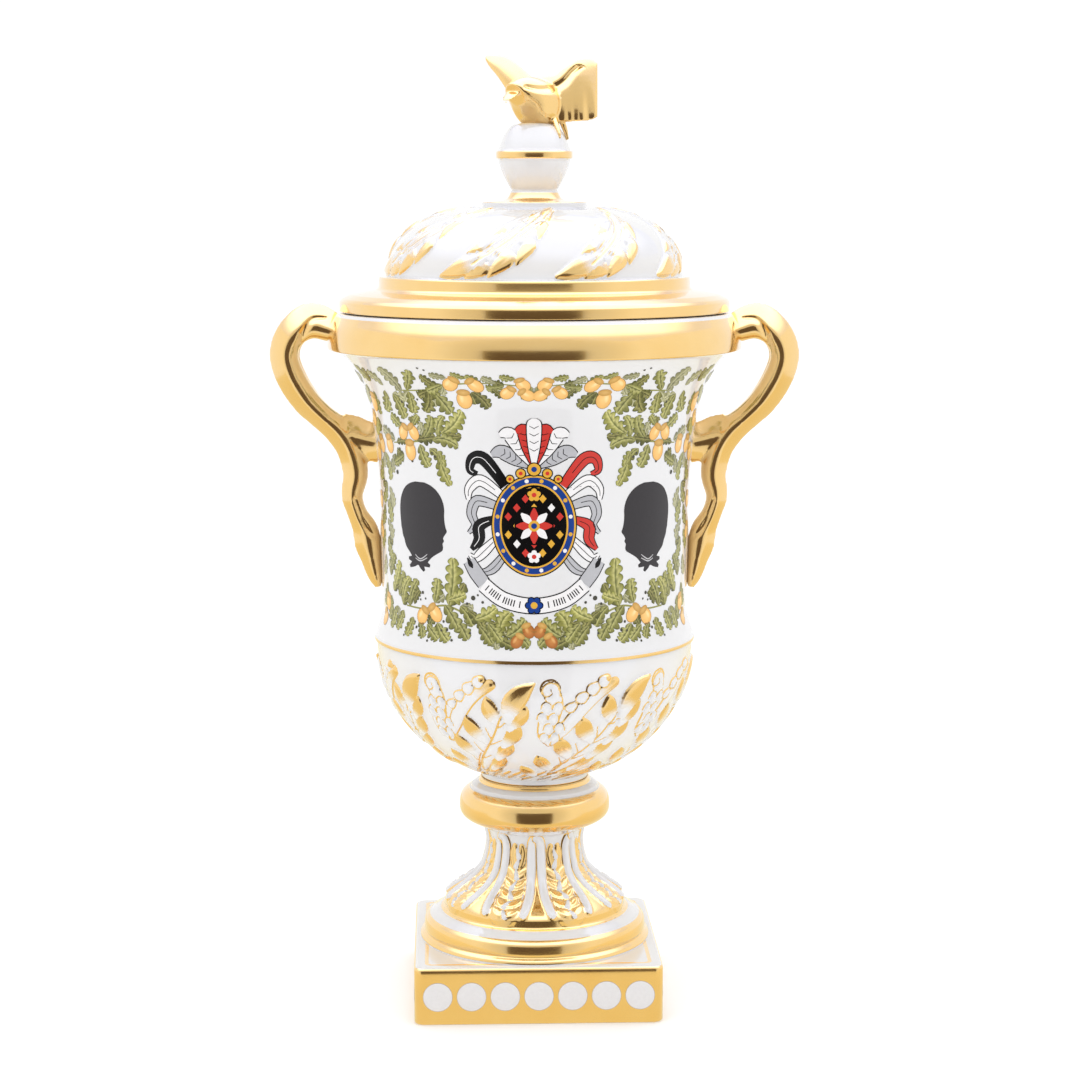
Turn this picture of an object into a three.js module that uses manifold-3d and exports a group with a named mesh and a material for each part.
// A lidded presentation vase of white glazed china with gilding: a campana-shaped vase with two
// gilt handles, a stem on a square plinth, and a domed lid with a gilt bird on its knob.
// Millimetres, +Z up. The origin is the middle of the plinth's underside, the painted front faces -Y
// and the handles stand out along +X and -X.
import * as THREE from 'three';
import { mergeVertices } from 'three/addons/utils/BufferGeometryUtils.js';
import Module from 'manifold-3d';

const wasm = await Module();
wasm.setup();

// Driving dimensions of the whole
const wall = 4;
const seamGap = 0.3;

// Pedestal
const plinthSide = 88;
const plinthHeight = 20.6;
const plinthCorner = 3;
const plinthEdge = 1;
const plinthWall = 4.5;
const footTurn = 2.2;
const lipRadius = 42;
const footRadius = 33.8;
const footRise = 10.4;
const ankleRadius = 18.8;
const ankleRise = 27.4;
const neckRadius = 17.7;
const neckRise = 38.9;
const collarRadius = 27.4;
const collarRise = 48;
const collarTop = 55.4;
const seatRadius = 19.5;
const seatHeight = 79.5;
const stemBore = 12;
const fluteDepth = 0.9;

// Vase body
const baseRadius = 19.2;
const shoulderRadius = 57.8;
const waistRadius = 54.9;
const upperRadius = 56.2;
const flareRadius = 71;
const rimRadius = 73.9;
const mouthRadius = 62.2;
const bowlFoot = 2;
const bowlTop = 51.7;
const waistHeight = 62.7;
const flareFoot = 112.2;
const rimDepth = 13.2;
const bodyHeight = 169;
const baseThickness = 5;
const bowlCarving = 1.1;

// Lid
const brimRadius = 69.5;
const brimThickness = 7.4;
const domeRadius = 53;
const domeFoot = 12.4;
const domeTop = 37.1;
const flangeDepth = 6;
const flangeWall = 3.5;
const flangeClearance = 0.8;
const discRadius = 18.5;
const discThickness = 1.2;
const knobNeck = 8.3;
const knobRadius = 13.6;
const knobRise = 16.5;
const knobBand = 2.6;
const knobHeight = 28;
const leafCarving = 1.3;

// Carving: where the leaves stand in each repeat, and how steep their edges are, in shares of a repeat
const repeats = 8;
const frondPlace = -0.2;
const domeLeafPlace = 0.33;
const edgeSpread = 0.02;
const leafEnd = 0.9;
const leafBlunt = 0.12;
const bowlTwist = 0.62;
const domeTwist = 0.9;

// Handles: how far their middle line stands from the axis, and their widest and deepest section
const handleReach = 88.8;
const strandWidth = 14.6;
const handleDepth = 14;
const channelShare = 0.3;
const channelEnd = 0.5;

// Bird, measured up from the knob's widest line
const birdHeight = 35.8;

// Fineness of the facets
const plainColumns = 32;
const innerColumns = 16;
const knobColumns = 16;
const stemRows = 7;
const bowlRows = 8;
const domeRows = 8;
const strandStations = 22;
const strandSides = 10;
const limbSides = 8;

const degrees = Math.PI / 180;
const quarterTurn = Math.PI / 2;

// Heights at which the pieces meet
const bodyFoot = seatHeight + seamGap;
const flareTop = bodyHeight - rimDepth;
const rimTop = bodyFoot + bodyHeight;
const lidFoot = rimTop + seamGap;
const knobFoot = lidFoot + domeTop + discThickness;

// A ring of points round the axis, starting at the painted front
function ring(radius, height, columns = plainColumns, twist = 0) {
  const points = [];
  for (let i = 0; i < columns; i += 1) {
    const angle = twist - quarterTurn + 2 * Math.PI * i / columns;
    points.push(new THREE.Vector3(radius * Math.cos(angle), radius * Math.sin(angle), height));
  }
  return points;
}

// Rings through the points of a moulding: each is a distance out from radius and a height over foot
function moulding(points, radius, foot, columns = plainColumns, twist = 0) {
  return points.map(([out, up]) => ring(radius + out, foot + up, columns, twist));
}

// A point on the axis, which closes a row of rings
function pole(height) {
  return [new THREE.Vector3(0, 0, height)];
}

// A ring in the shape of a square with round corners
function squareRing(side, corner, height, turn, steps = 3) {
  const points = [];
  const centre = side / 2 - corner;
  for (let quarter = 0; quarter < 4; quarter += 1) {
    for (let i = 0; i <= steps; i += 1) {
      const angle = (quarter + i / steps) * quarterTurn;
      const middle = (quarter + 0.5) * quarterTurn;
      const x = centre * Math.SQRT2 * Math.cos(middle) + corner * Math.cos(angle);
      const y = centre * Math.SQRT2 * Math.sin(middle) + corner * Math.sin(angle);
      points.push(new THREE.Vector3(x, y, height).applyAxisAngle(new THREE.Vector3(0, 0, 1), turn));
    }
  }
  return points;
}

// The triangles between two neighbouring rings, which may have different counts of points
function band(low, high, offsetLow, offsetHigh, faces) {
  const n = low.length;
  const m = high.length;
  let i = 0;
  let j = 0;
  const lowEnd = n === 1 ? 0 : n;
  const highEnd = m === 1 ? 0 : m;
  while (i < lowEnd || j < highEnd) {
    const lowNext = i < lowEnd && (j >= highEnd || (i + 1) / n <= (j + 1) / m);
    if (lowNext) {
      faces.push(offsetLow + i % n, offsetLow + (i + 1) % n, offsetHigh + j % m);
      i += 1;
    } else {
      faces.push(offsetLow + i % n, offsetHigh + (j + 1) % m, offsetHigh + j % m);
      j += 1;
    }
  }
}

// A closed solid over a row of rings that starts and ends with a pole
function skin(rings) {
  const points = rings.flat();
  const faces = [];
  let offset = 0;
  for (let k = 0; k + 1 < rings.length; k += 1) {
    band(rings[k], rings[k + 1], offset, offset + rings[k].length, faces);
    offset += rings[k].length;
  }
  return solid(points, faces);
}

function solid(points, faces) {
  const geometry = new THREE.BufferGeometry().setFromPoints(points);
  geometry.setIndex(faces);
  return toManifold(geometry);
}

function toManifold(geometry) {
  const merged = mergeVertices(geometry, 1e-5);
  const mesh = new wasm.Mesh({
    numProp: 3,
    vertProperties: new Float32Array(merged.attributes.position.array),
    triVerts: new Uint32Array(merged.index.array),
  });
  return new wasm.Manifold(mesh);
}

function toGeometry(manifold) {
  const mesh = manifold.getMesh();
  const geometry = new THREE.BufferGeometry();
  geometry.setAttribute('position', new THREE.BufferAttribute(mesh.vertProperties, 3));
  geometry.setIndex(new THREE.BufferAttribute(mesh.triVerts, 1));
  geometry.computeVertexNormals();
  return geometry;
}

// Curves of a profile from a to b, in radius and height. A control point is a distance out from the
// nearer end and a share of the height between the ends.
function bend(a, [out, share], b) {
  return new THREE.QuadraticBezierCurve(
    new THREE.Vector2(...a),
    new THREE.Vector2(a[0] + out, a[1] + share * (b[1] - a[1])),
    new THREE.Vector2(...b));
}

function sweep(a, [outA, shareA], [outB, shareB], b) {
  return new THREE.CubicBezierCurve(
    new THREE.Vector2(...a),
    new THREE.Vector2(a[0] + outA, a[1] + shareA * (b[1] - a[1])),
    new THREE.Vector2(b[0] + outB, a[1] + shareB * (b[1] - a[1])),
    new THREE.Vector2(...b));
}

// Plain rings along a profile curve, set off sideways from it by inset (positive is towards the axis)
function curveRings(curve, steps, columns, inset = 0, start = 0) {
  const rings = [];
  for (let k = start; k <= steps; k += 1) {
    const point = curve.getPoint(k / steps);
    const tangent = curve.getTangent(k / steps);
    rings.push(ring(point.x - inset * tangent.y, point.y + inset * tangent.x, columns));
  }
  return rings;
}

// Carved rings along a profile curve. columns(along) lists, over one repeat, where a column of points
// stands (0 to 1) and how far it is raised; lean(along) turns the repeat, so that leaves sweep round.
function carvedRings(curve, steps, columns, lean) {
  const rings = [];
  for (let k = 0; k <= steps; k += 1) {
    const along = k / steps;
    const point = curve.getPoint(along);
    const tangent = curve.getTangent(along);
    const points = [];
    for (let repeat = 0; repeat < repeats; repeat += 1) {
      for (const [across, raised] of columns(along, k)) {
        const angle = lean(along) + 2 * Math.PI * (repeat + across) / repeats - quarterTurn;
        const r = point.x + raised * tangent.y;
        points.push(new THREE.Vector3(
          r * Math.cos(angle), r * Math.sin(angle), point.y - raised * tangent.x));
      }
    }
    rings.push(points);
  }
  return rings;
}

// The columns of one leaf: foot and top of its left edge, flank, midrib, flank, right edge. The edge
// swells at every second row, which makes the lobes, and the leaf thins to both ends.
function leafColumns(middle, halfWidth, height, along, row) {
  const lobe = row % 2 === 1 ? 1 : 0.62;
  const share = Math.min(1, along / leafEnd);
  const taper = Math.sin(Math.PI * (leafBlunt + share * (1 - leafBlunt)));
  const half = halfWidth * lobe * Math.max(0.15, Math.sqrt(taper));
  const full = height * Math.min(1, 3 * taper, 12 * along);
  const flank = half * 0.5;
  return [
    [middle - half - edgeSpread, 0], [middle - half + edgeSpread, full * 0.8],
    [middle - flank, full], [middle, full * 0.55], [middle + flank, full],
    [middle + half - edgeSpread, full * 0.8], [middle + half + edgeSpread, 0],
  ];
}

// The square plinth, with a hollow below that narrows upwards so that it can leave its mould
function plinthSolid(turn) {
  const inner = plinthSide - 2 * plinthWall;
  const ceiling = plinthHeight - wall;
  const draft = 2;
  const shell = skin([
    pole(0),
    squareRing(plinthSide, plinthCorner, 0, turn),
    squareRing(plinthSide, plinthCorner, plinthHeight - plinthEdge, turn),
    squareRing(plinthSide - 2 * plinthEdge, plinthCorner, plinthHeight, turn),
    pole(plinthHeight),
  ]);
  const hollow = skin([
    pole(-1),
    squareRing(inner, plinthCorner, -1, turn),
    squareRing(inner - draft, plinthCorner, ceiling, turn),
    pole(ceiling),
  ]);
  return { shell, hollow };
}

// Arches of two ribs with a spear sunk between them, and a strip of leaves between one arch and the
// next. The spear widens downwards, and the leaves bulge at every second row.
function stemColumns(along, row) {
  const fade = Math.min(1, 5 * along, 5 * (1 - along));
  const spear = 0.04 + 0.1 * (1 - along);
  const sunk = -fluteDepth * fade;
  const leaves = (row % 2 === 1 ? 0.1 : 0.55) * sunk;
  const half = [
    [spear, sunk], [spear + 0.04, 0], [spear + 0.13, 0], [0.36, leaves],
  ];
  const mirrored = half.map(([across, raised]) => [1 - across, raised]).reverse();
  return [[0, sunk], ...half, [0.5, 0.6 * sunk], ...mirrored];
}

// The mouldings between the plinth and the stem, from the lip inwards
const footMoulding = [[0, 0.8], [-0.6, 2.4], [-2.6, 4.2], [-3.4, 6.6], [-4.2, 7.4], [-7.2, 10]];

function pedestalSolid() {
  const turn = footTurn * degrees;
  const base = plinthHeight;
  const sunk = base - 1;
  const foot = [footRadius, base + footRise];
  const ankle = [ankleRadius, base + ankleRise];
  const neck = [neckRadius, base + neckRise];
  const belly = [collarRadius, base + collarRise];
  const top = [collarRadius - 4.6, base + collarTop];
  const shin = sweep(foot, [-0.9, 0.41], [3.4, 0.62], ankle);
  const throat = bend(ankle, [-2.2, 0.7], neck);
  const underCollar = sweep(neck, [0.9, 0.33], [0, 0.4], belly);
  const overCollar = bend(belly, [0.3, 0.89], top);
  const stem = new THREE.CurvePath();
  stem.add(shin);
  stem.add(throat);
  const outer = [
    pole(sunk),
    ring(lipRadius, sunk),
    ...moulding(footMoulding, lipRadius, base),
    ...carvedRings(stem, stemRows, stemColumns, () => turn),
    ...curveRings(underCollar, 4, plainColumns, 0, 1),
    ...curveRings(overCollar, 3, plainColumns, 0, 1),
    ring(top[0], seatHeight - 2.3),
    ring(seatRadius, seatHeight),
    pole(seatHeight),
  ];
  const cavityRadius = footRadius - 1;
  const cavityTop = seatHeight - wall - 2;
  const cavity = [
    pole(-1),
    ring(cavityRadius, -1, innerColumns),
    ring(cavityRadius, base, innerColumns),
    ...curveRings(shin, 4, innerColumns, wall + 1),
    ring(stemBore, base + neckRise, innerColumns),
    ring(stemBore, cavityTop, innerColumns),
    pole(cavityTop),
  ];
  const { shell, hollow } = plinthSolid(turn);
  return shell.add(skin(outer)).subtract(hollow).subtract(skin(cavity));
}

// A smooth run through rows of numbers, at t from 0 to 1
function smooth(rows, t) {
  const place = Math.min(t * (rows.length - 1), rows.length - 1 - 1e-9);
  const i = Math.floor(place);
  const u = place - i;
  const row = (k) => rows[Math.min(rows.length - 1, Math.max(0, k))];
  const [before, from, to, after] = [row(i - 1), row(i), row(i + 1), row(i + 2)];
  return from.map((value, k) => {
    const slopeFrom = (to[k] - before[k]) / 2;
    const slopeTo = (after[k] - value) / 2;
    const rise = to[k] - value;
    return value + u * (slopeFrom + u * (3 * rise - 2 * slopeFrom - slopeTo
      + u * (slopeFrom + slopeTo - 2 * rise)));
  });
}

// A closed limb over rows of sections, each a middle and two half axes; dent hollows its inner side
function limb(sections, sides) {
  const onward = sections[1].at.clone().sub(sections[0].at);
  const handed = sections[0].across.clone().cross(sections[0].up).dot(onward) > 0 ? 1 : -1;
  const rings = sections.map(({ at, across, up, dent = 0 }) => {
    const points = [];
    for (let i = 0; i < sides; i += 1) {
      const angle = handed * 2 * Math.PI * i / sides;
      const c = Math.cos(angle);
      const s = Math.sin(angle);
      const blunt = dent > 0 && c < 0;
      const out = blunt ? -(Math.abs(c) ** 0.35) * (1 - dent * c ** 14) : c;
      const side = blunt ? Math.sign(s) * Math.abs(s) ** 0.7 : s;
      points.push(at.clone().addScaledVector(across, out).addScaledVector(up, side));
    }
    return points;
  });
  const first = sections[0].at;
  const last = sections[sections.length - 1].at;
  return skin([[first.clone()], ...rings, [last.clone()]]);
}

// A handle's strand and the web that ties it to the body, from the top down and outwards. Each row is
// in hundredths: of the handle's reach beyond the waist, of the body's height, and of the strand's
// widest and deepest section.
const strandRows = [
  [35.7, 95.3, 68.5, 85.7], [53.4, 96.6, 84.9, 100], [73.5, 97.5, 100, 100], [92.3, 95, 86.3, 100],
  [100, 90.8, 84.9, 100], [93.5, 86, 83.6, 96.4], [78.8, 81.2, 76.7, 89.3],
  [62.2, 77.8, 68.5, 82.1], [45.7, 74.7, 71.2, 75], [33.9, 70.8, 67.1, 71.4],
  [28, 65.7, 64.4, 67.9], [31.9, 60.9, 54.8, 64.3], [26.8, 57.2, 50.7, 60.7],
  [18.6, 53.7, 64.4, 60.7], [15, 50.3, 68.5, 60.7], [11.2, 46.7, 53.4, 53.6],
  [7.4, 43.3, 39.7, 46.4], [5, 41.1, 16.4, 21.4],
];
const webRows = [
  [-4.1, 72.4, 84.9, 57.1], [9.1, 72.7, 87.7, 60], [26.8, 73.5, 82.2, 62.9], [41.6, 74.6, 68.5, 57.1],
];

function handleSolid(side) {
  const place = ([out, up]) => new THREE.Vector3(
    side * (waistRadius + (handleReach - waistRadius) * out / 100), 0, bodyFoot + bodyHeight * up / 100);
  const sections = [];
  for (let k = 0; k <= strandStations; k += 1) {
    const [out, up, width, depth] = smooth(strandRows, k / strandStations);
    const back = place(smooth(strandRows, Math.max(0, (k - 0.3) / strandStations)));
    const ahead = place(smooth(strandRows, Math.min(1, (k + 0.3) / strandStations)));
    const along = ahead.sub(back).normalize();
    const outward = new THREE.Vector3(-along.z * side, 0, along.x * side).normalize();
    sections.push({
      at: place([out, up]),
      across: outward.multiplyScalar(strandWidth * width / 200),
      up: new THREE.Vector3(0, handleDepth * depth / 200, 0),
      dent: channelShare * Math.sin(Math.PI * Math.min(1, k / (strandStations * channelEnd))),
    });
  }
  const web = webRows.map(([out, up, width, depth]) => ({
    at: place([out, up]),
    across: new THREE.Vector3(0, 0, strandWidth * width / 200),
    up: new THREE.Vector3(0, handleDepth * depth / 200, 0),
  }));
  return limb(sections, strandSides).add(limb(web, limbSides));
}

// Fronds that sweep up to the right, and a forked scroll that opens upwards between them
function bowlColumns(along, row) {
  const frond = leafColumns(frondPlace, 0.22, bowlCarving, along, row);
  const open = Math.min(1, Math.max(0, (along - 0.4) / 0.5));
  const height = 0.8 * bowlCarving * Math.min(1, 3 * open, 10 * (1 - along));
  const half = 0.03 + 0.17 * open;
  const middle = 0.2 + 0.2 * open;
  const scroll = [
    [middle - half - edgeSpread, 0], [middle - half + edgeSpread, height],
    [middle, height * 0.1], [middle + half - edgeSpread, height], [middle + half + edgeSpread, 0],
  ];
  return [...frond, ...scroll];
}

function bodyCurves() {
  const at = (radius, height) => [radius, bodyFoot + height];
  const bowl = sweep(
    at(baseRadius, bowlFoot), [17, 0.11], [-1.3, 0.41], at(shoulderRadius, bowlTop));
  const shoulder = bend(
    at(shoulderRadius, bowlTop), [-0.3, 0.5], at(waistRadius, waistHeight));
  const side = sweep(
    at(waistRadius, waistHeight), [0.2, 0.34], [-0.4, 0.76], at(upperRadius, flareFoot));
  const flare = sweep(
    at(upperRadius, flareFoot), [1.4, 0.46], [-11.8, 0.78], at(flareRadius, flareTop));
  return { bowl, shoulder, side, flare };
}

// The rim's band and bevel, measured from the rim's widest line and from its top edge
const rimMoulding = [[0, -12], [0, -8], [-0.8, -4.6], [-2.9, 0]];

function bodySolid() {
  const { bowl, shoulder, side, flare } = bodyCurves();
  const lean = (along) => -bowlTwist * (1 - along) * (1 - along);
  const inside = (curve, steps, start = 0) =>
    curveRings(curve, steps, innerColumns, wall, start).reverse().slice(1);
  const outer = [
    pole(bodyFoot),
    ring(baseRadius, bodyFoot, plainColumns, lean(0)),
    ...carvedRings(bowl, bowlRows, bowlColumns, lean),
    ...curveRings(shoulder, 3, plainColumns, 0, 1),
    ...curveRings(side, 1, plainColumns, 0, 1),
    ...curveRings(flare, 4, plainColumns, 0, 1),
    ...moulding(rimMoulding, rimRadius, rimTop),
  ];
  const inner = [
    ring(mouthRadius, rimTop),
    ring(mouthRadius, bodyFoot + flareTop - 1),
    ...inside(flare, 3),
    ...inside(side, 1),
    ...inside(shoulder, 2),
    ...inside(bowl, 5, 1),
    pole(bodyFoot + baseThickness),
  ];
  return skin([...outer, ...inner]).add(handleSolid(1)).add(handleSolid(-1));
}

// Leaves that sweep down the dome to the left, with smooth china between them
function domeColumns(along, row) {
  return leafColumns(domeLeafPlace, 0.25, leafCarving, along, row);
}

// The brim's edge, from its foot up to the step below the cove
const brimMoulding = [[0, 0], [0, 3.5], [-1.1, 4.6], [-4, 6.2]];

// The knob's foot and neck, and its crown, as distances out from the neck and from the widest line
const knobFootMoulding = [[2, 1], [1, 2.6], [0, 3.9]];
const knobCrown = [[-2.6, 4.9], [-5.4, 9.5]];

function lidSolid() {
  const top = lidFoot + domeTop;
  const brimTop = lidFoot + brimThickness;
  const coveHeight = domeFoot - brimThickness;
  const dome = sweep(
    [domeRadius, lidFoot + domeFoot], [-0.9, 0.55], [22.8, 0.935], [discRadius, top]);
  const flangeRadius = mouthRadius - flangeClearance;
  const knobMiddle = knobFoot + knobRise;
  const knobRing = (radius, height) => ring(radius, height, knobColumns, domeTwist);
  const outer = [
    ring(flangeRadius - flangeWall, lidFoot - flangeDepth),
    ring(flangeRadius, lidFoot - flangeDepth),
    ring(flangeRadius, lidFoot),
    ...moulding(brimMoulding, brimRadius, lidFoot),
    ring(domeRadius + 4.1, brimTop),
    ring(domeRadius + 2.2, brimTop + 0.32 * coveHeight),
    ring(domeRadius + 1.6, brimTop + 0.84 * coveHeight),
    ...carvedRings(dome, domeRows, domeColumns, (along) => domeTwist * along),
    ring(discRadius, knobFoot, plainColumns, domeTwist),
    ...moulding(knobFootMoulding, knobNeck, knobFoot, knobColumns, domeTwist),
    knobRing(knobRadius - 1.3, knobMiddle - knobBand / 2 - 0.8),
    knobRing(knobRadius, knobMiddle - knobBand / 2),
    knobRing(knobRadius, knobMiddle + knobBand / 2),
    ...moulding(knobCrown, knobRadius, knobMiddle, knobColumns, domeTwist),
    pole(knobFoot + knobHeight),
  ];
  const inner = [
    pole(top - wall),
    ...curveRings(dome, 5, innerColumns, wall).reverse(),
    ring(domeRadius - wall, brimTop, innerColumns),
    ring(flangeRadius - flangeWall, lidFoot + 3, innerColumns),
  ];
  return skin([...inner, ...outer]).add(birdSolid());
}

// The bird is drawn on the knob's widest line, in thirty-sixths of its own height. It looks down to
// the left of the front, with one wing raised behind it and the other spread along +X.
function birdSolid() {
  const unit = birdHeight / 36;
  const foot = new THREE.Vector3(0, 0, knobFoot + knobRise);
  const axis = (x, y, z) => new THREE.Vector3(x, y, z).multiplyScalar(unit);
  const point = (x, y, z) => axis(x, y, z).add(foot);
  const section = (at, across, up) => ({ at: point(...at), across: axis(...across), up: axis(...up) });
  const body = limb([
    section([9.5, 10, 12.5], [0, 0, 0.8], [1.6, -1.3, 0]),
    section([6, 6.5, 14.5], [0.6, 0.7, 3.6], [3, -2.5, 0]),
    section([2, 2.2, 17], [0.8, 1, 8.4], [5.8, -4.8, 0]),
    section([-2, -2.4, 18.6], [-0.8, -1, 8.8], [6.2, -5.2, 0]),
    section([-5, -5.8, 19.6], [-2.4, -2.8, 5.6], [4.6, -3.8, 0]),
    section([-6.6, -7.6, 20.8], [-1.6, -2, 3.8], [3.2, -2.7, 0]),
  ], limbSides);
  const head = limb([
    section([-6.4, -6.6, 22.8], [0.5, 0.5, 1.4], [1.2, -1, 0]),
    section([-7.3, -7.6, 21.8], [1.6, 1.6, 2.4], [2.4, -2, 0]),
    section([-8.4, -8.9, 20.6], [1.6, 1.6, 2.2], [2.3, -1.9, 0]),
    section([-9.4, -10.2, 19.4], [0.8, 0.8, 1.2], [1.2, -1, 0]),
    section([-9.9, -11.2, 17.8], [0.2, 0.2, 0.4], [0.4, -0.3, 0]),
  ], limbSides);
  const spread = limb([
    section([1, 1, 19], [0, 0, 6], [0, 2.4, 0]),
    section([7, -0.5, 19.3], [0, 0, 8.4], [0, 2.2, 0]),
    section([11, -1.4, 21], [0, 0, 9.8], [0, 1.9, 0]),
    section([15, -1.6, 22.5], [0, 0, 11], [0, 1.6, 0]),
    section([19.5, -1, 22.9], [0, 0, 11.2], [0, 1.3, 0]),
    section([22.2, -0.2, 22.6], [0, 0, 9.8], [0, 0.8, 0]),
  ], limbSides);
  const raised = limb([
    section([-3, 0.6, 21.5], [4.2, 0, 4], [0.8, 2.4, -0.8]),
    section([-7, 2.4, 26.6], [3.4, 0.6, 3.2], [0.6, 1.7, -0.6]),
    section([-10.4, 4.2, 30.4], [3, 0.6, 2.6], [0.5, 1.4, -0.5]),
    section([-13.6, 6, 33.6], [2.4, 0.4, 1.6], [0.4, 1.1, -0.4]),
    section([-16.4, 7.4, 35.4], [1.1, 0.2, 0.4], [0.2, 0.6, -0.2]),
  ], limbSides);
  const toes = [[8.4, -6.4, 5.6], [11, -1.2, 5.2]];
  const feet = toes.map(([x, y, z]) => limb([
    section([x - 2.6, y * 0.3, z + 8], [1.3, 0, 0], [0, 1.3, 0]),
    section([x - 1, y * 0.75, z + 3.6], [0.9, 0, 0.4], [0, 0.9, 0]),
    section([x, y, z], [0.5, 0, 0.2], [0, 0.5, 0]),
  ], 6));
  return [head, spread, raised, ...feet].reduce((whole, part) => whole.add(part), body);
}

const china = new THREE.MeshStandardMaterial({ color: 0xf4f1ec, roughness: 0.12, metalness: 0 });
const parts = { pedestal: pedestalSolid(), vase_body: bodySolid(), lid: lidSolid() };

const vase = new THREE.Group();
for (const [name, piece] of Object.entries(parts)) {
  const mesh = new THREE.Mesh(toGeometry(piece), china.clone());
  mesh.name = name;
  vase.add(mesh);
}

export default vase;
